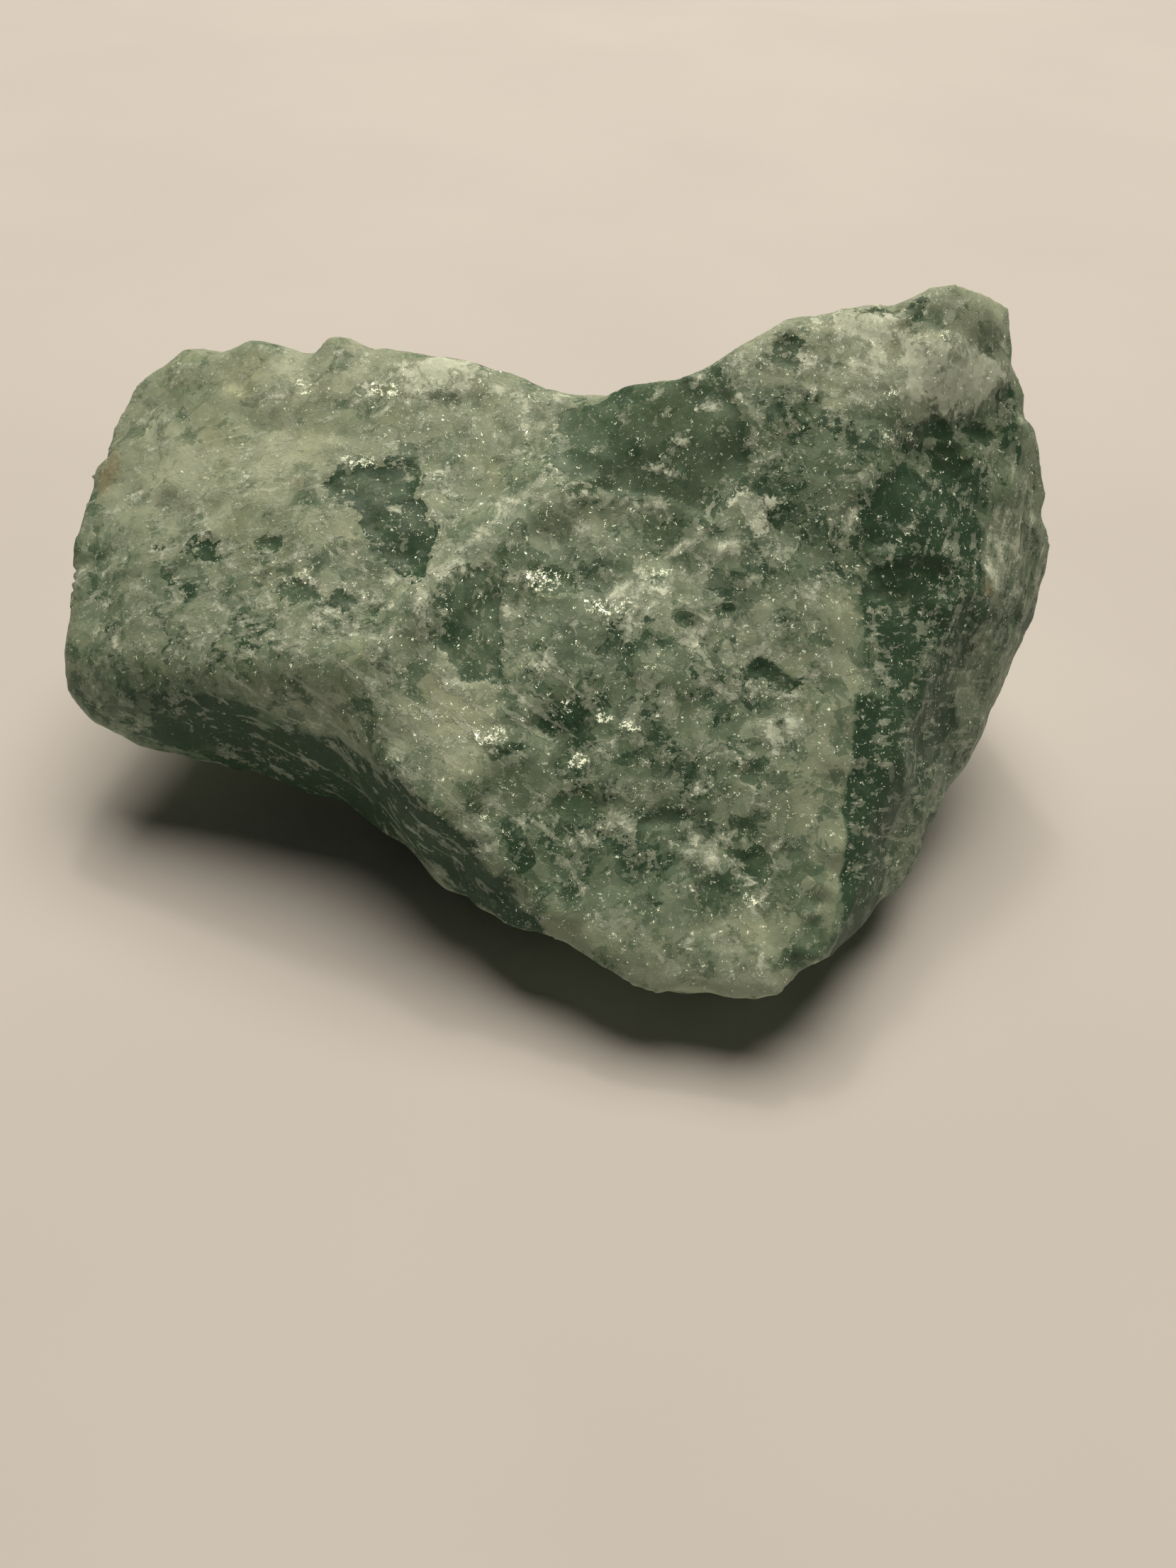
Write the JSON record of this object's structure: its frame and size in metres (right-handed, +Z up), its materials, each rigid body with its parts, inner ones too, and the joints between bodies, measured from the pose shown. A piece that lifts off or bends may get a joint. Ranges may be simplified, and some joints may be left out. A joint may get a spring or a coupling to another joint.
{
  "type": "fluorite specimen",
  "caption": "Rough broken chunk of cloudy pale to dark green fluorite with a blunt left lobe, a notch, a raised right horn and a sloping main face, lying on a worn flat underside.",
  "frame": {"origin": "under the middle of the chunk's bounding box, on the surface that it lies on", "axes": "+X along the longest extent, from the blunt lobe to the horned end; +Y away from the viewer of the main broken face; +Z up"},
  "size_m": [0.1116, 0.0748, 0.0569],
  "materials": {
    "fluorite": "rough broken surface, cloudy and slightly translucent, with small bright cleavage flakes and frosty white patches"
  },
  "bodies": {
    "root": {"fluorite_chunk": "fluorite"}
  },
  "joints": []
}
